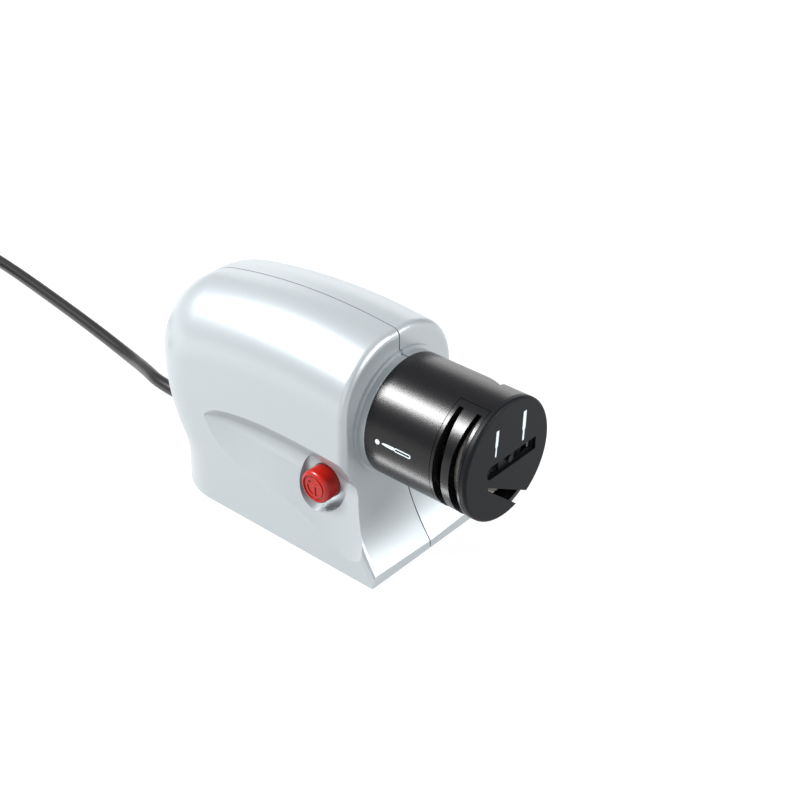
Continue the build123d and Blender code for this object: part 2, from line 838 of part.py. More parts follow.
with BuildPart() as head_cap:
    add(
        revolved(
            [
                (cap_back, 0),
                (cap_back, lining_radius),
                (cap_back - cap_spigot, lining_radius),
                (cap_back - cap_spigot, lip_radius),
                (cap_back, lip_radius),
                (cap_back, head_radius),
                (head_front, head_radius),
                (head_front, 0),
            ]
        )
    )
    rim = head_cap.edges().filter_by(GeomType.CIRCLE).group_by(Axis.X)[-1]
    fillet(rim, cap_edge)
    # the ring makes room for the knife guide
    add(
        sector(
            cap_back - cap_spigot - overshoot,
            cap_back,
            lining_radius - overshoot,
            head_radius,
            -lip_end - seam_turn,
            lip_end + seam_turn,
        ),
        mode=Mode.SUBTRACT,
    )
    with BuildSketch(ring_plane(head_front)) as groove:
        with Locations(((groove_left + groove_right) / 2, (groove_bottom + groove_top) / 2)):
            Rectangle(groove_right - groove_left, groove_top - groove_bottom)
        fillet(groove.vertices().group_by(Axis.X)[0], groove_corner)
    extrude(amount=-groove_depth, mode=Mode.SUBTRACT)
    with BuildSketch(ring_plane(cap_back)):
        for y, z, width, height in (left_opening, right_opening):
            with Locations((y, z)):
                Rectangle(width, height)
    extrude(amount=cap_length, mode=Mode.SUBTRACT)
    with BuildSketch(ring_plane(head_front - groove_depth)):
        with Locations(stud_place):
            Circle(stud_radius)
    extrude(amount=groove_depth - turn_gap)
    with BuildSketch(ring_plane(head_front)):
        with BuildLine():
            Polyline(
                mouth_start_top, mouth_end_top, mouth_end_bottom, mouth_start_bottom, close=True
            )
        make_face()
    extrude(amount=-cap_length - cap_spigot, mode=Mode.SUBTRACT)
finish(head_cap.part, "head_cap")

index_front = spigot_end - bead_length - turn_gap
with BuildPart() as index_ring:
    add(turned(sleeve_back, index_front, index_radius, index_bore))
    with BuildSketch(ring_plane(sleeve_back)):
        Rectangle(2 * (index_radius + key_height), key_width)
        Circle(index_bore, mode=Mode.SUBTRACT)
    extrude(amount=index_front - sleeve_back)
finish(index_ring.part, "index_ring")


# --------------------------------------------------------------------------- spindle
shaft_bore = shaft_radius + fit
washer_front = wheel_front + washer_thickness
nut_front = washer_front + nut_height
bell_back = can_back - bell_thickness
bell_end = bell_back - bell_boss_length
with BuildPart() as motor_shaft:
    add(turned(bell_end - shaft_behind_bell, nut_front + shaft_beyond_nut, shaft_radius))
    chamfer(motor_shaft.edges().filter_by(GeomType.CIRCLE), shaft_radius / 5)
finish(motor_shaft.part, "motor_shaft")

with BuildPart() as rotor_core:
    with BuildSketch(ring_plane(rotor_back)):
        Circle(rotor_radius)
        Circle(shaft_bore, mode=Mode.SUBTRACT)
        with PolarLocations(rotor_slot_circle, rotor_slots):
            Circle(rotor_slot_radius, mode=Mode.SUBTRACT)
        with PolarLocations(rotor_radius - rotor_slot_radius / 2, rotor_slots):
            Rectangle(2 * rotor_slot_radius, rotor_slot_radius / 2, mode=Mode.SUBTRACT)
    extrude(amount=rotor_length)
finish(rotor_core.part, "rotor_core")

with BuildPart() as rotor_windings:
    bundle_radius = rotor_slot_radius - 2 * fit
    with BuildSketch(ring_plane(rotor_back - winding_overhang)):
        with PolarLocations(rotor_slot_circle, rotor_slots):
            Circle(bundle_radius)
    extrude(amount=rotor_length + 2 * winding_overhang)
    for start in (rotor_back - winding_overhang, rotor_front + fit):
        with BuildSketch(ring_plane(start)):
            Circle(rotor_slot_circle + rotor_slot_radius + air_gap)
            Circle(rotor_slot_circle - rotor_slot_radius - air_gap, mode=Mode.SUBTRACT)
        extrude(amount=winding_overhang - fit)
finish(rotor_windings.part, "rotor_windings")

with BuildPart() as commutator:
    add(turned(commutator_back, commutator_back + commutator_length, commutator_radius, shaft_bore))
finish(commutator.part, "commutator")

with BuildPart() as wheel_flange:
    flange_back = wheel_back - wheel_flange_length
    add(turned(flange_back, wheel_back, wheel_flange_radius, shaft_bore))
    add(turned(flange_back - wheel_hub_length, flange_back, wheel_hub_radius, shaft_bore))
finish(wheel_flange.part, "wheel_flange")

with BuildPart() as grinding_wheel:
    add(turned(wheel_back, wheel_front, wheel_radius, shaft_bore))
    chamfer(grinding_wheel.edges().filter_by(GeomType.CIRCLE).sort_by(SortBy.RADIUS)[-2:], wheel_chamfer)
finish(grinding_wheel.part, "grinding_wheel")

with BuildPart() as wheel_washer:
    add(turned(wheel_front, washer_front, washer_radius, shaft_bore))
finish(wheel_washer.part, "wheel_washer")

with BuildPart() as wheel_nut:
    with BuildSketch(ring_plane(washer_front)):
        RegularPolygon(nut_across_flats / 2, 6, major_radius=False)
        Circle(shaft_bore, mode=Mode.SUBTRACT)
    extrude(amount=nut_height)
finish(wheel_nut.part, "wheel_nut")


# ----------------------------------------------------------------------------- motor
boss_front = can_front + can_boss_length
bush_seat = bush_radius + fit
with BuildPart() as motor_can:
    add(
        revolved(
            [
                (can_back, can_radius),
                (can_front, can_radius),
                (can_front, bearing_radius),
                (boss_front, bearing_radius),
                (boss_front, bush_seat),
                (can_front - can_wall, bush_seat),
                (can_front - can_wall, can_bore),
                (can_back, can_bore),
            ]
        )
    )
finish(motor_can.part, "motor_can")

with BuildPart() as motor_magnets:
    start = rotor_back - magnet_overhang
    with BuildSketch(ring_plane(start)):
        Circle(can_bore - fit)
        Circle(magnet_bore, mode=Mode.SUBTRACT)
        Rectangle(2 * can_radius, magnet_parting, mode=Mode.SUBTRACT)
    extrude(amount=rotor_length + 2 * magnet_overhang)
finish(motor_magnets.part, "motor_magnets")

brush_x = commutator_back + commutator_length / 2
holder_end = brush_holder_start + brush_length
holder_length = brush_x + brush_width / 2 + brush_holder_wall - can_back
holder_height = brush_height + 2 * brush_holder_wall
with BuildPart() as motor_end_bell:
    add(
        revolved(
            [
                (can_back + bell_spigot, can_bore - fit),
                (can_back, can_bore - fit),
                (can_back, can_radius),
                (bell_back, can_radius),
                (bell_back, bearing_radius),
                (bell_end, bearing_radius),
                (bell_end, bush_seat),
                (can_back, bush_seat),
                (can_back, can_bore - can_wall),
                (can_back + bell_spigot, can_bore - can_wall),
            ]
        )
    )
    for side in (-1, 1):
        add(
            block(
                can_back + holder_length / 2,
                side * (brush_holder_start + holder_end) / 2,
                axis_height - holder_height / 2,
                holder_length,
                brush_length,
                holder_height,
            )
        )
    channel = holder_end + fit
    add(
        block(
            brush_x,
            0,
            axis_height - brush_height / 2 - fit,
            brush_width + 2 * fit,
            2 * channel,
            brush_height + 2 * fit,
        ),
        mode=Mode.SUBTRACT,
    )
finish(motor_end_bell.part, "motor_end_bell")

with BuildPart() as brushes:
    reach = commutator_radius + brush_length
    for side in (-1, 1):
        middle = (brush_x, side * reach / 2, axis_height - brush_height / 2)
        add(block(*middle, brush_width, reach, brush_height))
    add(
        turned(can_back, can_back + can_length, commutator_radius + turn_gap),
        mode=Mode.SUBTRACT,
    )
finish(brushes.part, "brushes")

for bush_name, start in (
    ("motor_front_bush", boss_front - bush_length),
    ("motor_rear_bush", bell_end),
):
    with BuildPart() as bush:
        add(turned(start, start + bush_length, bush_radius, shaft_radius + running_fit))
    finish(bush.part, bush_name)

with BuildPart() as damper_rings:
    lip = (damper_width - rib_thickness) / 2 - fit
    for x in damper_xs:
        back, front = x - damper_width / 2, x + damper_width / 2
        add(
            revolved(
                [
                    (back, can_radius + fit),
                    (back, damper_flange),
                    (back + lip, damper_flange),
                    (back + lip, damper_radius),
                    (front - lip, damper_radius),
                    (front - lip, damper_flange),
                    (front, damper_flange),
                    (front, can_radius + fit),
                ]
            )
        )
finish(damper_rings.part, "damper_rings")

with BuildPart() as bearing_carrier:
    web_front = carrier_back + carrier_web
    bearing_back = carrier_front - bearing_width - piece_gap
    add(
        revolved(
            [
                (carrier_back, carrier_lip),
                (carrier_back, neck_bore - fit),
                (carrier_front, neck_bore - fit),
                (carrier_front, carrier_rim),
                (web_front, carrier_rim),
                (web_front, carrier_hub),
                (carrier_front, carrier_hub),
                (carrier_front, bearing_radius + fit),
                (bearing_back, bearing_radius + fit),
                (bearing_back, carrier_lip),
            ]
        )
    )
finish(bearing_carrier.part, "bearing_carrier")

with BuildPart() as front_bearing:
    shield_depth = bearing_width / 10
    ball_low = shaft_radius + bearing_width / 4
    ball_high = bearing_radius - bearing_width / 4
    bearing_front = bearing_back + bearing_width
    add(turned(bearing_back, bearing_front, bearing_radius, shaft_radius + running_fit))
    for start, end in (
        (bearing_back, bearing_back + shield_depth),
        (bearing_front - shield_depth, bearing_front),
    ):
        add(turned(start, end, ball_high, ball_low), mode=Mode.SUBTRACT)
finish(front_bearing.part, "front_bearing")

with BuildPart() as dust_seal:
    add(turned(carrier_front, carrier_front + seal_thickness, neck_bore - fit, shaft_radius + turn_gap))
finish(dust_seal.part, "dust_seal")


# ---------------------------------------------------------------------------- switch
flange_front = guide_tube_end + piece_gap
flange_rear = flange_front + flange_thickness
with BuildPart() as power_button:
    add(across(button_x, button_height, button_radius, button_face, flange_rear))
    fillet(power_button.edges().filter_by(GeomType.CIRCLE).sort_by(Axis.Y)[0], button_edge)
    add(across(button_x, button_height, button_flange, flange_front, flange_rear))
    add(
        across(
            button_x, button_height, button_dish, button_face - overshoot, button_face + dish_depth
        ),
        mode=Mode.SUBTRACT,
    )
    # raised mark: a ring, a bar across it and a bar from there down
    face = Plane(
        origin=(button_x, button_face + dish_depth, button_height), x_dir=(1, 0, 0), z_dir=(0, -1, 0)
    )
    with BuildSketch(face):
        Circle(mark_radius)
        Circle(mark_radius - mark_width, mode=Mode.SUBTRACT)
        with Locations((0, mark_chord)):
            Rectangle(2 * mark_radius - mark_width, mark_width)
        with Locations((0, (mark_chord - mark_radius) / 2)):
            Rectangle(mark_width, mark_chord + mark_radius - mark_width)
    extrude(amount=mark_depth)
finish(power_button.part, "power_button")

plunger_end = -switch_setback + plunger_engagement
with BuildPart() as switch_plunger:
    add(across(button_x, button_height, plunger_radius, flange_rear, plunger_end))
finish(switch_plunger.part, "switch_plunger")

switch_back = -switch_setback + switch_depth
switch_bottom = button_height - switch_height / 2
with BuildPart() as micro_switch:
    add(
        block(
            button_x,
            -switch_setback + switch_depth / 2,
            switch_bottom,
            switch_length,
            switch_depth,
            switch_height,
        )
    )
    bore_end = plunger_end + button_travel + plunger_engagement
    add(
        across(button_x, button_height, plunger_radius + turn_gap, -side_cut, bore_end),
        mode=Mode.SUBTRACT,
    )
finish(micro_switch.part, "micro_switch")

bracket_inside = switch_length + 2 * fit
with BuildPart() as switch_bracket:
    with BuildSketch(Plane.XY.offset(switch_bottom)):
        bracket_back = switch_back + fit + bracket_thickness
        with Locations((button_x, (pocket_back + bracket_back) / 2)):
            Rectangle(bracket_inside + 2 * bracket_thickness, bracket_back - pocket_back)
        with Locations((button_x, (pocket_back + switch_back + fit) / 2)):
            Rectangle(bracket_inside, switch_back + fit - pocket_back, mode=Mode.SUBTRACT)
    extrude(amount=switch_height)
finish(switch_bracket.part, "switch_bracket")


# ----------------------------------------------------------------------------- board
with BuildPart() as rectifier_board:
    add(block(board_x + board_length / 2, 0, board_height, board_length, board_width, board_thickness))
    for x in post_xs:
        for y in (-post_y, post_y):
            add(
                pillar(x, y, board_height, board_screw_radius + screw_clearance, board_thickness),
                mode=Mode.SUBTRACT,
            )
finish(rectifier_board.part, "rectifier_board")

with BuildPart() as board_screws:
    for x in post_xs:
        for y in (-post_y, post_y):
            add(pillar(x, y, board_top - board_screw_length, board_screw_radius, board_screw_length))
            add(pillar(x, y, board_top, board_screw_head, board_screw_head_height))
finish(board_screws.part, "board_screws")

with BuildPart() as bridge_rectifier:
    add(block(board_x + bridge_place[0], bridge_place[1], board_top, *bridge_size))
    chamfer(bridge_rectifier.edges().filter_by(Axis.Y).group_by(Axis.Z)[-1][-1], bridge_size[1] / 2)
finish(bridge_rectifier.part, "bridge_rectifier")

with BuildPart() as mains_capacitor:
    add(block(board_x + capacitor_place[0], capacitor_place[1], board_top, *capacitor_size))
    fillet(mains_capacitor.edges().filter_by(Axis.Z), capacitor_edge)
finish(mains_capacitor.part, "mains_capacitor")

with BuildPart() as mains_wires:
    wire_top = board_top + mains_wire_rise
    for y in (-cord_radius / 2, cord_radius / 2):
        add(
            cable(
                [
                    (tail_end, y, cord_height),
                    (tail_end + mains_wire_step, y, cord_height),
                    (tail_end + 2 * mains_wire_step, y, wire_top),
                    (board_x + mains_pad, y, wire_top),
                    (board_x + mains_pad, y, board_top),
                ],
                wire_radius,
                wire_bend,
            )
        )
finish(mains_wires.part, "mains_wires")

with BuildPart() as motor_leads:
    lead_down = bell_back - wire_bend - motor_lead_gap
    lead_start = axis_height - motor_lead_drop
    lead_low = board_top + motor_lead_rise
    for y in (-can_radius / 2, can_radius / 2):
        add(
            cable(
                [
                    (bell_back, y, lead_start),
                    (lead_down, y, lead_start),
                    (lead_down, y, lead_low),
                    (board_x + motor_pad, y, lead_low),
                    (board_x + motor_pad, y, board_top),
                ],
                wire_radius,
                wire_bend,
            )
        )
finish(motor_leads.part, "motor_leads")

with BuildPart() as switch_leads:
    middle_y = -switch_setback + switch_depth / 2
    front_end = board_x + board_length
    for side, pad, rise in zip((-1, 1), switch_pads, switch_lead_rises):
        from_x = button_x + side * switch_tab
        to_x = front_end - pad
        lead_y = middle_y - side * switch_lead_step
        lead_z = board_top + rise
        add(
            cable(
                [
                    (from_x, lead_y, switch_bottom),
                    (from_x, lead_y, lead_z),
                    (to_x, lead_y, lead_z),
                    (to_x, lead_y, board_top),
                ],
                wire_radius,
                wire_bend,
            )
        )
finish(switch_leads.part, "switch_leads")


# ------------------------------------------------------------------------ mains lead
clamp_top = cord_height + clamp_height
seat_top = cord_height - cord_radius - fit
with BuildPart() as cord_clamp:
    channel = cord_radius + fit
    add(block(clamp_x, 0, seat_top, clamp_length, 2 * clamp_half_width, clamp_top - seat_top))
    start = clamp_x - clamp_length
    add(bar_along(start, start + 2 * clamp_length, channel), mode=Mode.SUBTRACT)
    add(
        block(clamp_x, 0, seat_top, clamp_length, 2 * channel, cord_height - seat_top),
        mode=Mode.SUBTRACT,
    )
    for y in (-clamp_screw_y, clamp_screw_y):
        add(
            pillar(clamp_x, y, seat_top, screw_radius + screw_clearance, clamp_top - seat_top),
            mode=Mode.SUBTRACT,
        )
finish(cord_clamp.part, "cord_clamp")

with BuildPart() as clamp_screws:
    for y in (-clamp_screw_y, clamp_screw_y):
        add(pillar(clamp_x, y, clamp_top - clamp_screw_length, screw_radius, clamp_screw_length))
        add(pillar(clamp_x, y, clamp_top, screw_head_radius, screw_head_height))
finish(clamp_screws.part, "clamp_screws")

relief_tip = plinth_x - relief_length
flange_start = plinth_x + wall + piece_gap
with BuildPart() as strain_relief:
    with BuildSketch(Plane.XZ):
        with BuildLine():
            Polyline(
                (relief_tip, cord_height),
                (relief_tip, cord_height + relief_tip_radius),
                (plinth_x, cord_height + relief_root_radius),
                (flange_start, cord_height + relief_root_radius),
                (flange_start, cord_height + relief_flange_radius),
                (flange_start + relief_flange_thickness, cord_height + relief_flange_radius),
                (flange_start + relief_flange_thickness, cord_height),
                close=True,
            )
        make_face()
    revolve(axis=Axis((0, 0, cord_height), (1, 0, 0)))
    pitch = relief_length / (relief_grooves + 2)
    for number in range(1, relief_grooves + 1):
        x = relief_tip + number * pitch
        taper = (x - relief_tip) / relief_length * (relief_root_radius - relief_tip_radius)
        bottom = relief_tip_radius + taper - relief_groove_depth
        with BuildSketch(Plane(origin=(x, 0, cord_height), x_dir=(0, 1, 0), z_dir=(1, 0, 0))):
            Circle(relief_flange_radius)
            Circle(bottom, mode=Mode.SUBTRACT)
        extrude(amount=relief_groove_width, mode=Mode.SUBTRACT)
    add(bar_along(relief_tip, 0, cord_radius + fit), mode=Mode.SUBTRACT)
finish(strain_relief.part, "strain_relief")

with BuildPart() as cord_tail:
    add(bar_along(relief_tip, tail_end, cord_radius))
finish(cord_tail.part, "cord_tail")


def bend_radii(route):
    """Largest arc that the two runs at each corner of a route allow."""
    radii = []
    for before, corner, after in zip(route, route[1:], route[2:]):
        run_in = Vector(*corner) - Vector(*before)
        run_out = Vector(*after) - Vector(*corner)
        half_turn = radians(run_in.get_angle(run_out)) / 2
        radii.append(0.45 * min(run_in.length, run_out.length) / tan(half_turn))
    return radii


lead_route = [
    (relief_tip, 0.0, cord_height),
    (-111.0, 0.0, 13.0),
    (-128.0, 7.2, 9.4),
    (-150.0, 16.2, 3.2),
    (-185.0, 22.8, 3.0),
    (-230.0, 29.7, 3.0),
    (-268.0, 34.9, 3.0),
    (-293.0, 37.0, 3.0),
]
with BuildPart() as cord_lead:
    lead_radii = bend_radii(lead_route)
    add(cable(lead_route, cord_radius, lead_radii))
finish(cord_lead.part, "cord_lead")
print("lead radii", [round(radius, 1) for radius in lead_radii])
print("lead volume", round(cord_lead.part.volume))

# the coil's outer turn goes on from the lead
lead_end = Vector(*lead_route[-1])
heading = (lead_end - Vector(*lead_route[-2])).normalized()
inward = Vector(-heading.Y, heading.X, 0)
coil_centre = lead_end + heading * coil_stub + inward * coil_radii[-1]
coil_inner = coil_radii[0] - cord_radius
coil_outer = coil_radii[-1] + cord_radius
coil_top = 2 * cord_radius + coil_lift
# the last turn leaves from the middle ring, over the outer one
end_route = [
    coil_centre + Vector(x, y, z - cord_radius)
    for x, y, z in (
        (30.0, -33.0, 9.2),
        (41.0, -33.5, 9.2),
        (53.0, -35.4, 7.6),
        (64.2, -38.6, 7.0),
        (75.0, -42.9, 7.0),
    )
]
with BuildPart() as cord_coil:
    with BuildSketch():
        with Locations((coil_centre.X, coil_centre.Y)):
            Circle(coil_outer)
            Circle(coil_inner, mode=Mode.SUBTRACT)
    extrude(amount=coil_top)
    with BuildSketch(Plane(origin=lead_end, z_dir=heading)):
        Circle(cord_radius)
    extrude(amount=coil_stub)
    leaving = (end_route[1] - end_route[0]).normalized()
    with BuildSketch(Plane(origin=end_route[0], z_dir=-leaving)):
        Circle(cord_radius)
    extrude(amount=coil_end_stub)
finish(cord_coil.part, "cord_coil")

with BuildPart() as coil_tie:
    middle = coil_centre.X + (coil_inner + coil_outer) / 2
    inside = coil_outer - coil_inner + 2 * turn_gap + tie_thickness / 2
    outside = inside + 2 * tie_thickness
    add(block(middle, coil_centre.Y, 0, outside, tie_width, coil_top + fit + tie_thickness))
    add(block(middle, coil_centre.Y, 0, inside, tie_width, coil_top + fit), mode=Mode.SUBTRACT)
finish(coil_tie.part, "coil_tie")

end_points = [(point.X, point.Y, point.Z) for point in end_route]
with BuildPart() as cord_end:
    end_radii = bend_radii(end_points)
    add(cable(end_points, cord_radius, end_radii))
finish(cord_end.part, "cord_end")
print("end radii", [round(radius, 1) for radius in end_radii])

plug_start = end_route[-1]
plug_heading = (end_route[-1] - end_route[-2]).normalized()
across_plug = plug_heading.cross(Vector(0, 0, 1))


def plug_plane(distance):
    """Plane across the plug at a distance from where the lead enters it."""
    return Plane(origin=plug_start + plug_heading * distance, x_dir=across_plug, z_dir=plug_heading)


with BuildPart() as plug_body:
    with BuildSketch(plug_plane(0)):
        Circle(plug_neck)
    with BuildSketch(plug_plane(plug_length - plug_straight)):
        RectangleRounded(plug_width, plug_height, plug_edge)
    loft()
    with BuildSketch(plug_plane(plug_length - plug_straight)):
        RectangleRounded(plug_width, plug_height, plug_edge)
    extrude(amount=plug_straight)
finish(plug_body.part, "plug_body")

with BuildPart() as plug_pins:
    with BuildSketch(plug_plane(plug_length)):
        with GridLocations(pin_spacing, 1, 2, 1):
            Circle(pin_radius)
    extrude(amount=pin_length)
    tips = plug_pins.edges().filter_by(GeomType.CIRCLE).sort_by_distance(plug_start)[-2:]
    fillet(tips, pin_radius / 2)
finish(plug_pins.part, "plug_pins")
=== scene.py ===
# %% [markdown]
# # An electric knife sharpener, dressed for a studio picture
# The imported model holds every solid piece at its real place.  This script adds what
# the solids leave out: the mains lead as one flexible line, the printed marks, the
# finishes, a pale table with soft lights, and the camera.  Blender works in metres,
# and a sharpener is easier to think of in millimetres, so sizes are written in
# millimetres and multiplied by `mm` where Blender takes them.

# %% Load the model and bake each node's place into its mesh
import math

import bmesh
import bpy
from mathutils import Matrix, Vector


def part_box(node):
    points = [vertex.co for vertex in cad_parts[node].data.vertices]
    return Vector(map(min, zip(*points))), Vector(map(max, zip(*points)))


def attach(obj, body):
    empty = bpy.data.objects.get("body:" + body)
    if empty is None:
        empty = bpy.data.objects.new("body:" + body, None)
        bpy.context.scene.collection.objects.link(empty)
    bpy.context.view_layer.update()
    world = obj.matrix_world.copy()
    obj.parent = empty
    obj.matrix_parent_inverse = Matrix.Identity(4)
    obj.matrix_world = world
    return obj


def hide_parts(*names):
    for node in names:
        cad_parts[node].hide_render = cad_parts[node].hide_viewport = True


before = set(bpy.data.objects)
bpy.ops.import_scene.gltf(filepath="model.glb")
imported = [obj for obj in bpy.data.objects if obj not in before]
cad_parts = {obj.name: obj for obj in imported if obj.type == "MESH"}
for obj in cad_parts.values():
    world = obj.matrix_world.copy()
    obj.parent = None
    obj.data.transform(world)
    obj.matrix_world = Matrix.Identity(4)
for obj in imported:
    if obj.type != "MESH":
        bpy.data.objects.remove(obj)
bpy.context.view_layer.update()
print("CAD nodes:", len(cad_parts))

# %% [markdown]
# ## The camera
# The sharpener is seen from its button's side, half from the front and from above.  A
# camera can be aimed with a Track To constraint or by its own rotation; the
# rotation is simpler here, because nothing moves.  The lens is long, as for catalogue
# pictures, which keeps upright edges nearly parallel.  The camera comes first, because
# the lead has to run out of its view.

# %% Camera
mm = 0.001
view_azimuth = 40.93          # degrees from looking along +Y, towards -X
view_elevation = 32.82
camera_place = Vector((367.6, -387.5, 394.9)) * mm
lens_length = 71.88           # millimetres, as on a real lens
sensor_width = 36             # millimetres, the width of small film
nearest_seen = 50 * mm

camera_data = bpy.data.cameras.new("studio_camera")
camera_data.lens = lens_length
camera_data.sensor_width = sensor_width
camera_data.clip_start = nearest_seen
camera = bpy.data.objects.new("studio_camera", camera_data)
camera.location = camera_place
camera.rotation_euler = (math.radians(90 - view_elevation), 0, math.radians(view_azimuth))
bpy.context.scene.collection.objects.link(camera)
bpy.context.scene.camera = camera
print("camera at", [round(value, 3) for value in camera.location])

# %% [markdown]
# ## The mains lead
# The real lead is a round PVC-covered cable, six millimetres thick, that leaves the rear
# wall through its sleeve, drops to the table and is wound up out of view.  It could be a
# swept mesh, but a NURBS curve of order 3 bends near a short list of control points like
# a real lead: it has no kinks and stays easy to change.  The first points repeat the
# route of the solid model; the coil comes from a loop, turn by turn.

# %% Route along the table, in millimetres
cord_diameter = 6.0
route = [
    (-95.197, 0.0, 13.0),
    (-111.0, 0.0, 13.0),
    (-128.0, 7.2, 9.4),
    (-150.0, 16.2, 3.2),
    (-185.0, 22.8, 3.0),
    (-230.0, 29.7, 3.0),
    (-268.0, 34.9, 3.0),
    (-293.0, 37.0, 3.0),
]
print("points along the table:", len(route))

# %% Shape of the coil
coil_centre = Vector((-320.18, 0.15, 0))
lower_layer = 3.0             # heights of the two layers of turns
upper_layer = 9.2
turn_radii = [39.0, 33.0, 27.0, 27.0, 33.0]
points_per_turn = 14
coil_start = 85.0             # degrees: where the lead meets the outer turn
coil_end = 270.0              # degrees: where the last turn leaves
step_share = 0.2              # last part of a turn, in which it steps to the next one
climb_start = 2.6             # turns after which the lead climbs to the upper layer
climb_length = 0.4


def share_past(value, start, length):
    """How far a value is past a start, from 0 to 1 over a length."""
    return min(max((value - start) / length, 0), 1)


def coil_points():
    """Control points of the wound part, inwards on the table and outwards on top."""
    # a control point of a round turn lies outside its circle by this much
    stand_off = 1 / math.cos(math.pi / points_per_turn) ** 0.5
    whole = (len(turn_radii) - 1) * 360 + coil_end - coil_start
    count = round(whole / 360 * points_per_turn)
    points = []
    for number in range(count + 1):
        turned = whole * number / count
        place = turned / 360
        turn = min(int(place), len(turn_radii) - 2)
        step = share_past(place - turn, 1 - step_share, step_share)
        radius = turn_radii[turn] * (1 - step) + turn_radii[turn + 1] * step
        lift = share_past(place, climb_start, climb_length)
        height = lower_layer + (upper_layer - lower_layer) * lift
        angle = math.radians(coil_start + turned)
        points.append(
            (
                coil_centre.x + radius * stand_off * math.cos(angle),
                coil_centre.y + radius * stand_off * math.sin(angle),
                height,
            )
        )
    return points


plug_route = [
    (coil_centre.x + x, coil_centre.y + y, z)
    for x, y, z in (
        (30.0, -33.0, upper_layer),
        (41.0, -33.5, upper_layer),
        (53.0, -35.4, 7.6),
        (64.2, -38.6, 7.0),
        (75.0, -42.9, 7.0),
    )
]
lead_points = route + coil_points() + plug_route
print("points in all:", len(lead_points))


# %% Make the lead
def make_lead(points, diameter):
    """One NURBS line with a round section."""
    curve = bpy.data.curves.new("mains_lead", "CURVE")
    curve.dimensions = "3D"
    # Blender's box round a curve grows by the radius of its points, so these hold the
    # real radius and the section is one metre
    curve.bevel_depth = 1.0
    curve.bevel_resolution = 6
    curve.resolution_u = 8
    curve.use_fill_caps = True
    spline = curve.splines.new("NURBS")
    spline.points.add(len(points) - 1)
    for point, place in zip(spline.points, points):
        point.co = (*(Vector(place) * mm), 1)
        point.radius = diameter * mm / 2
    spline.order_u = 3
    spline.use_endpoint_u = True
    lead = bpy.data.objects.new("mains_lead", curve)
    bpy.context.scene.collection.objects.link(lead)
    return lead


def line_length(lead):
    """Length of the lead's own line, measured on the curve without its section."""
    bare = lead.data.copy()
    bare.bevel_depth = 0
    probe = bpy.data.objects.new("probe", bare)
    mesh = bpy.data.meshes.new_from_object(probe)
    total = sum(
        (mesh.vertices[edge.vertices[0]].co - mesh.vertices[edge.vertices[1]].co).length
        for edge in mesh.edges
    )
    bpy.data.objects.remove(probe)
    bpy.data.curves.remove(bare)
    bpy.data.meshes.remove(mesh)
    return total


# %% The lead as a piece of the model
lead = make_lead(lead_points, cord_diameter)
lead_length = line_length(lead)
print("lead length", round(lead_length, 3), "m")
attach(lead, "root")
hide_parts("cord_lead", "cord_coil", "cord_end")

# %% [markdown]
# ## Printed marks
# A dot and a knife show on the tube how to turn it, and two screwdrivers on the cap
# show what the groove is for.  On the real head they are pad printed, which leaves a
# film of ink thinner than paper.  An image texture would do, but it needs a picture and
# a UV map; real geometry stays sharp from near.  So a mark is drawn flat, filled,
# thickened a little and only then laid on its surface.

# %% Surfaces that carry the marks
ink_height = 0.05
ink_sink = 0.03               # the film starts under the surface, so no gap shows
sleeve_low, sleeve_high = (Vector(corner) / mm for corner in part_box("head_sleeve"))
tube_radius = (sleeve_high.z - sleeve_low.z) / 2
tube_height = (sleeve_high.z + sleeve_low.z) / 2
cap_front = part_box("head_cap")[1][0] / mm
print("tube radius", round(tube_radius, 2), "mm, cap front at", round(cap_front, 2), "mm")


def on_tube(x, round_tube, lift):
    """Place on the tube: along it, round it from its left side, and above it."""
    angle = round_tube / tube_radius
    radius = tube_radius + lift
    return Vector((x, -radius * math.cos(angle), tube_height + radius * math.sin(angle)))


def on_cap(y, z, lift):
    """Place on the cap: sideways and up from the middle, and in front of it."""
    return Vector((cap_front + lift, y, tube_height + z))


# %% Outlines of the marks
def slot_outline(start, end, middle, half_width, steps=10):
    """Outline with round ends, as a pen stroke leaves it."""
    outline = []
    for end_x, first in ((end - half_width, -90), (start + half_width, 90)):
        for step in range(steps + 1):
            angle = math.radians(first + 180 * step / steps)
            across = half_width * math.cos(angle)
            outline.append((end_x + across, middle + half_width * math.sin(angle)))
    return outline


def screwdriver(top, tip, handle, blade):
    """Outline between the middles of its top and tip; handle is a width and a length."""
    handle_width, handle_length = handle
    neck = 0.9                # length over which the handle narrows to the blade
    length = top[1] - tip[1]
    outline = []
    for side in (-1, 1):
        edge = []
        for down, width in (
            (0, handle_width),
            (handle_length, handle_width),
            (handle_length + neck, blade),
            (length, blade),
        ):
            share = down / length
            middle = top[0] + (tip[0] - top[0]) * share
            edge.append((middle + side * width / 2, top[1] - down))
        outline += edge if side < 0 else edge[::-1]
    return outline


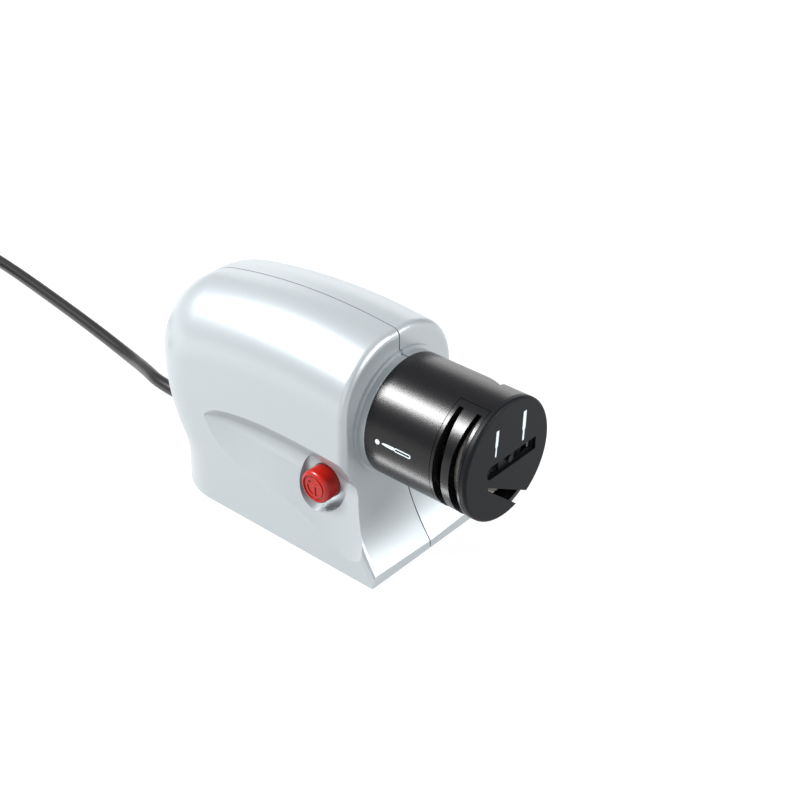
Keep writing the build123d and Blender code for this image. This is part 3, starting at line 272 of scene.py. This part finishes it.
# %% Print a mark
def print_mark(name, shapes, surface):
    """One piece of ink; each shape is an outline, with its hole if it has one."""
    form = bmesh.new()
    for outlines in shapes:
        rim = []
        for outline in outlines:
            corners = [form.verts.new((u, v, -ink_sink)) for u, v in outline]
            for first, second in zip(corners, corners[1:] + corners[:1]):
                rim.append(form.edges.new((first, second)))
        bmesh.ops.triangle_fill(form, edges=rim, use_beauty=True, use_dissolve=False)
    grown = bmesh.ops.extrude_face_region(form, geom=form.faces[:])["geom"]
    bmesh.ops.translate(
        form,
        vec=(0, 0, ink_sink + ink_height),
        verts=[item for item in grown if isinstance(item, bmesh.types.BMVert)],
    )
    for vert in form.verts:
        vert.co = surface(*vert.co) * mm
    bmesh.ops.recalc_face_normals(form, faces=form.faces[:])
    mesh = bpy.data.meshes.new(name)
    form.to_mesh(mesh)
    form.free()
    mark = bpy.data.objects.new(name, mesh)
    bpy.context.scene.collection.objects.link(mark)
    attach(mark, "head")
    return mark


# %% The four marks
blade_outline = [
    (44.2, 2.5), (44.5, 2.8), (45.2, 3.0), (46.6, 3.15), (50.15, 3.2),
    (50.15, 1.95), (48.6, 1.9), (46.4, 2.0), (45.0, 2.15), (44.4, 2.3),
]
marks = [
    print_mark("turn_dot", [[slot_outline(41.0, 43.2, 2.3, 1.05)]], on_tube),
    print_mark(
        "knife_mark",
        [
            [blade_outline],
            [slot_outline(50.2, 58.2, 2.5, 0.85), slot_outline(50.7, 57.7, 2.5, 0.4)],
        ],
        on_tube,
    ),
    print_mark(
        "small_driver_mark",
        [[screwdriver((-6.6, 16.1), (-7.5, 5.3), (1.5, 6.2), 0.75)]],
        on_cap,
    ),
    print_mark(
        "large_driver_mark",
        [[screwdriver((9.45, 16.9), (8.8, 4.3), (1.8, 7.4), 1.0)]],
        on_cap,
    ),
]
print("marks:", {mark.name: len(mark.data.polygons) for mark in marks})

# %% [markdown]
# ## Materials
# Every finish is a small node tree on one Principled shader.  Patterns read Object
# coordinates, which are metres here, so a noise scale is worked out from the real
# size of a grain, and a pattern stays on its piece when the piece moves.  The helpers
# keep the trees short: one turns a hex colour into linear light, one adds a node, sets
# it up and links it, one mixes two colours, and one gives pieces their finish.


# %% Helpers for materials
def linear(hex_colour):
    """Hex sRGB colour as linear red, green, blue and alpha."""
    channels = [int(hex_colour[i : i + 2], 16) / 255 for i in (1, 3, 5)]
    return (
        *(c / 12.92 if c <= 0.04045 else ((c + 0.055) / 1.055) ** 2.4 for c in channels),
        1.0,
    )


def add(tree, kind, settings=None, links=None):
    """Add a node; links maps its inputs to the outputs that feed them."""
    node = tree.nodes.new(kind)
    for name, value in (settings or {}).items():
        if name in node.inputs:
            node.inputs[name].default_value = value
        else:
            setattr(node, name, value)
    for name, source in (links or {}).items():
        tree.links.new(source, node.inputs[name])
    return node


def material(name, **sockets):
    """New material with the Principled shader's own sockets set."""
    made = bpy.data.materials.new(name)
    made.use_nodes = True
    tree = made.node_tree
    shader = tree.nodes["Principled BSDF"]
    for socket, value in sockets.items():
        shader.inputs[socket.replace("_", " ")].default_value = value
    return made, tree, shader


def per_metre(size_in_mm):
    """Noise scale for a feature of that size."""
    return 1 / (size_in_mm * mm)


def two_tones(tree, share, first, second):
    """Mix two hex colours; the Mix node's colours come after its other sockets."""
    first_colour, second_colour, mixed_colour = 6, 7, 2
    mix = add(tree, "ShaderNodeMix", {"data_type": "RGBA"}, {"Factor": share})
    mix.inputs[first_colour].default_value = linear(first)
    mix.inputs[second_colour].default_value = linear(second)
    return mix.outputs[mixed_colour]


def coat(finish, *names):
    """Give CAD nodes or pieces this material, alone."""
    for name in names:
        piece = bpy.data.objects[name] if isinstance(name, str) else name
        piece.data.materials.clear()
        piece.data.materials.append(finish)
    print(finish.name, "on", len(names), "pieces")


# %% [markdown]
# ### Silver paint on ABS
# The housing is moulded ABS with a satin silver paint: aluminium flakes in a clear
# binder.  To the eye that is between metal and white paint, so the shader is half
# metallic, with a thin clear coat for the binder.  The flakes lie a little uneven; a
# fine noise drives the tint and a faint bump, which shows as sparkle, not as a colour.


# %% Silver paint
def silver_paint():
    paint, tree, shader = material(
        "silver_painted_abs",
        Metallic=0.5,
        Roughness=0.34,
        Coat_Weight=0.15,
        Coat_Roughness=0.25,
    )
    place = add(tree, "ShaderNodeTexCoord")
    # real flakes are finer than this; these are as coarse as they need to be to show
    flake_size = 0.35
    flake_height = 0.05
    flakes = add(
        tree,
        "ShaderNodeTexNoise",
        {"Scale": per_metre(flake_size), "Detail": 2.0},
        {"Vector": place.outputs["Object"]},
    )
    tint = two_tones(tree, flakes.outputs["Fac"], "#989ea1", "#a2a8ab")
    tree.links.new(tint, shader.inputs["Base Color"])
    bump = add(
        tree,
        "ShaderNodeBump",
        {"Strength": 0.03, "Distance": flake_height * mm},
        {"Height": flakes.outputs["Fac"]},
    )
    tree.links.new(bump.outputs["Normal"], shader.inputs["Normal"])
    return paint


coat(silver_paint(), "button_side_shell", "plain_side_shell")


# %% [markdown]
# ### Moulded plastics and rubber
# The turning head is moulded ABS from a spark-eroded mould.  The mould leaves a fine
# grain on the tube, which breaks the lamp's reflection up into a soft sparkling band.
# The button, the lead's PVC jacket, the rubber feet and the small parts inside differ
# from it in colour, in how rough they are and in how coarse their grain is, so one
# recipe with those values serves them all.  Plastics have an IOR near 1.5.


# %% Moulded finishes
def moulded(name, colour, roughness, grain_size, grain_strength, gloss=0.5):
    """Plastic or rubber; sizes in millimetres, and gloss scales its mirror shine."""
    plastic, tree, shader = material(name, IOR=1.5, Specular_IOR_Level=gloss)
    grain_height = 0.06
    unevenness = 0.15
    place = add(tree, "ShaderNodeTexCoord")
    grain = add(
        tree,
        "ShaderNodeTexNoise",
        {"Scale": per_metre(grain_size), "Detail": 3.0, "Roughness": 0.6},
        {"Vector": place.outputs["Object"]},
    )
    bump = add(
        tree,
        "ShaderNodeBump",
        {"Strength": grain_strength, "Distance": grain_height * mm},
        {"Height": grain.outputs["Fac"]},
    )
    shine = add(
        tree,
        "ShaderNodeMapRange",
        {"To Min": roughness * (1 - unevenness), "To Max": roughness * (1 + unevenness)},
        {"Value": grain.outputs["Fac"]},
    )
    shader.inputs["Base Color"].default_value = linear(colour)
    tree.links.new(shine.outputs["Result"], shader.inputs["Roughness"])
    tree.links.new(bump.outputs["Normal"], shader.inputs["Normal"])
    return plastic


# %% The head, the button and the lead
coat(
    moulded("spark_textured_abs", "#09090b", 0.27, 0.5, 0.3, gloss=0.28),
    "head_sleeve",
    "knife_guide",
)
coat(moulded("fine_matt_abs", "#0d0f12", 0.45, 0.3, 0.2, gloss=0.1), "head_cap")
coat(
    moulded("pvc_jacket", "#0d0d0e", 0.3, 0.8, 0.06),
    lead,
    "strain_relief",
    "cord_tail",
    "plug_body",
)
coat(
    moulded("orange_abs", "#8f1005", 0.3, 0.5, 0.05, gloss=0.35),
    "power_button",
    "switch_plunger",
)
coat(moulded("white_printing_ink", "#b8c0c5", 0.5, 0.3, 0.05), *marks)
coat(moulded("white_pvc_strap", "#b2b4b2", 0.5, 0.6, 0.1), "coil_tie")

# %% Feet and small parts inside
coat(
    moulded("soft_rubber", "#171717", 0.7, 0.6, 0.2),
    "damper_rings",
    "dust_seal",
    "front_button_side_foot",
    "front_plain_side_foot",
    "rear_button_side_foot",
    "rear_plain_side_foot",
)
coat(moulded("moulded_acetal", "#26262a", 0.4, 0.4, 0.1), "index_ring", "bearing_carrier")
coat(
    moulded("glass_filled_nylon", "#202022", 0.5, 0.4, 0.3),
    "motor_end_bell",
    "cord_clamp",
    "micro_switch",
    "bridge_rectifier",
)
coat(moulded("yellow_box_film", "#d8a928", 0.45, 0.5, 0.1), "mains_capacitor")
coat(moulded("green_laminate", "#1d5a34", 0.35, 0.7, 0.1), "rectifier_board")
coat(
    moulded("grey_pvc_insulation", "#6a6c72", 0.4, 0.5, 0.05),
    "mains_wires",
    "motor_leads",
    "switch_leads",
)


# %% [markdown]
# ### Metals
# The screws are zinc plated steel, the shaft is ground steel, and the motor adds plated
# sheet, copper and bronze.  All are fully metallic; what tells them apart is the colour
# and how smooth the finish is.  An even mirror looks like chrome, so a fine noise makes
# the roughness uneven, as handling and plating do.  A metal keeps the default IOR.


# %% Metals
def metal(name, colour, roughness, grain_size=0.4):
    """Bare or plated metal; the grain's size is in millimetres."""
    made, tree, shader = material(name, Metallic=1.0)
    unevenness = 0.2
    place = add(tree, "ShaderNodeTexCoord")
    grain = add(
        tree,
        "ShaderNodeTexNoise",
        {"Scale": per_metre(grain_size), "Detail": 2.0},
        {"Vector": place.outputs["Object"]},
    )
    shine = add(
        tree,
        "ShaderNodeMapRange",
        {"To Min": roughness * (1 - unevenness), "To Max": roughness * (1 + unevenness)},
        {"Value": grain.outputs["Fac"]},
    )
    shader.inputs["Base Color"].default_value = linear(colour)
    tree.links.new(shine.outputs["Result"], shader.inputs["Roughness"])
    return made


# %% Fasteners, shaft and motor
coat(
    metal("zinc_plated_steel", "#b9bcc0", 0.35),
    "housing_screws",
    "clamp_screws",
    "board_screws",
    "wheel_washer",
    "wheel_nut",
    "wheel_flange",
    "switch_bracket",
)
coat(metal("ground_steel", "#c4c6c8", 0.22), "motor_shaft", "front_bearing")
coat(metal("plated_motor_steel", "#a4a6a8", 0.4), "motor_can", "rotor_core")
coat(metal("enamelled_copper", "#b8662f", 0.3), "rotor_windings", "commutator")
coat(metal("sintered_bronze", "#a87c3c", 0.5), "motor_front_bush", "motor_rear_bush")
coat(metal("nickel_plated_brass", "#cfc8b4", 0.25), "plug_pins")
# magnets and brushes are pressed powder, dark and dull, and need no recipe of their own
coat(moulded("sintered_ferrite", "#3a3a3e", 0.6, 0.4, 0.3), "motor_magnets", "brushes")


# %% [markdown]
# ### Grinding wheel
# The wheel is aluminium oxide grit in a ceramic bond, rough and without any shine.  A
# plain noise would look like cloud; a Voronoi pattern has cells, so at the size of the
# grit it gives each grain its own height and a slightly different grey.


# %% Grinding wheel
def grinding_stone():
    stone, tree, shader = material("bonded_corundum", Roughness=0.85)
    grit_size = 0.5
    grit_height = 0.1
    place = add(tree, "ShaderNodeTexCoord")
    grains = add(
        tree,
        "ShaderNodeTexVoronoi",
        {"Scale": per_metre(grit_size)},
        {"Vector": place.outputs["Object"]},
    )
    tint = two_tones(tree, grains.outputs["Distance"], "#a5a29c", "#7d7a75")
    bump = add(
        tree,
        "ShaderNodeBump",
        {"Strength": 0.6, "Distance": grit_height * mm},
        {"Height": grains.outputs["Distance"]},
    )
    tree.links.new(tint, shader.inputs["Base Color"])
    tree.links.new(bump.outputs["Normal"], shader.inputs["Normal"])
    return stone


coat(grinding_stone(), "grinding_wheel")

# %% [markdown]
# ## Table
# Catalogue pictures are taken on a light table, a sheet that is also lit from below.
# It gives an even white ground and brightens the undersides.  One large face that gives
# off light of its own does the same, and its edge is too far away to be seen.

# %% Table
table_glow = 0.82
table_half_width = 30.0       # metres


def make_table():
    """Flat sheet under the whole scene."""
    form = bmesh.new()
    bmesh.ops.create_grid(form, x_segments=1, y_segments=1, size=table_half_width)
    mesh = bpy.data.meshes.new("table")
    form.to_mesh(mesh)
    form.free()
    table = bpy.data.objects.new("table", mesh)
    bpy.context.scene.collection.objects.link(table)
    white, _, _ = material(
        "white_table",
        Base_Color=linear("#747474"),
        Roughness=0.9,
        Emission_Color=linear("#ffffff"),
        Emission_Strength=table_glow,
    )
    mesh.materials.append(white)


make_table()
print("table", 2 * table_half_width, "m wide")

# %% [markdown]
# ## Lights
# A black tube mirrors whatever stands round it as bright lines along its length.  Light
# that comes in from one direction leaves the tube as a line halfway between that
# direction and the camera, so each soft box is placed for the line that it draws: the
# key box for the broad band near the top, the back box for the rim behind it and the
# strip for the thin line underneath.  Silver paint needs less: the fill and right boxes
# lift its sides.  A soft box is set by its radiance, how bright its own face looks, so
# that it can be moved or resized without changing the line it draws.


# %% Soft boxes
def soft_box(name, place, aim, width, height, radiance):
    """Area light that shines from one point towards another, set by its brightness."""
    data = bpy.data.lights.new(name, "AREA")
    data.shape = "RECTANGLE"
    data.size = width
    data.size_y = height
    data.energy = radiance * math.pi * width * height
    box = bpy.data.objects.new(name, data)
    box.location = place
    direction = Vector(aim) - Vector(place)
    box.rotation_euler = direction.to_track_quat("-Z", "Y").to_euler()
    bpy.context.scene.collection.objects.link(box)
    return box


middle = Vector((0.03, 0.0, 0.06))


def towards(direction, distance):
    """Place of a lamp that stands in a direction from the middle of the object."""
    return middle + Vector(direction).normalized() * distance


# %% Place the lights
upper_left = (-0.55, -0.44, 0.71)
behind = (-0.55, 0.80, 0.22)
in_front = (0.35, -0.90, 0.25)
to_the_right = (0.85, 0.30, 0.40)
# the numbers are the distance, then width, height and radiance
soft_box("key_box", towards(upper_left, 1.3), middle, 0.5, 0.36, 75)
head_back = soft_box("back_box", towards(behind, 1.5), middle, 1.3, 0.7, 1.9)
body_back = soft_box("crown_box", towards(behind, 1.51), middle, 1.3, 0.7, 1.1)
soft_box("fill_box", towards(in_front, 1.2), middle, 0.8, 0.6, 1.2)
soft_box("right_box", towards(to_the_right, 1.3), middle, 0.9, 0.6, 12)
strip_place = Vector((0.022, -0.047, 0.001))
straight_up = strip_place + Vector((0, 0, 1))
head_strip = soft_box("floor_strip", strip_place, straight_up, 0.06, 0.014, 9)
print("lights:", [item.name for item in bpy.data.lights])

# %% [markdown]
# ## Light linking
# What draws a good line on black plastic is too strong for silver paint.  In a studio a
# card hides a lamp from one part; Blender links a light to a collection of the objects
# that it may reach.  Two boxes stand at one place behind the object, a bright one for
# the black head and a weak one for the silver body.


# %% Which light reaches what
def light_only(light, *names):
    """Let a light reach these CAD nodes alone."""
    reached = bpy.data.collections.new("lit_by_" + light.name)
    for name in names:
        reached.objects.link(bpy.data.objects[name])
    light.light_linking.receiver_collection = reached
    print(light.name, "lights", names)


for light in (head_back, head_strip):
    light_only(light, "head_sleeve", "knife_guide", "head_cap")
light_only(body_back, "button_side_shell", "plain_side_shell")

# %% [markdown]
# ## World and display
# An even pale world is the light that a white room adds from all sides.  The display
# transform is the plain one, because the default one greys a white ground.

# %% World and display
room_light = 0.5
world = bpy.data.worlds.new("studio")
world.use_nodes = True
background = world.node_tree.nodes["Background"]
background.inputs["Color"].default_value = linear("#fbfcff")
background.inputs["Strength"].default_value = room_light
bpy.context.scene.world = world
bpy.context.scene.view_settings.view_transform = "Standard"
print("world strength", room_light)

# %% [markdown]
# ## Finish
# Last, the view layer is brought up to date, so every piece stands at its final place.

# %% Bring the scene up to date
bpy.context.view_layer.update()
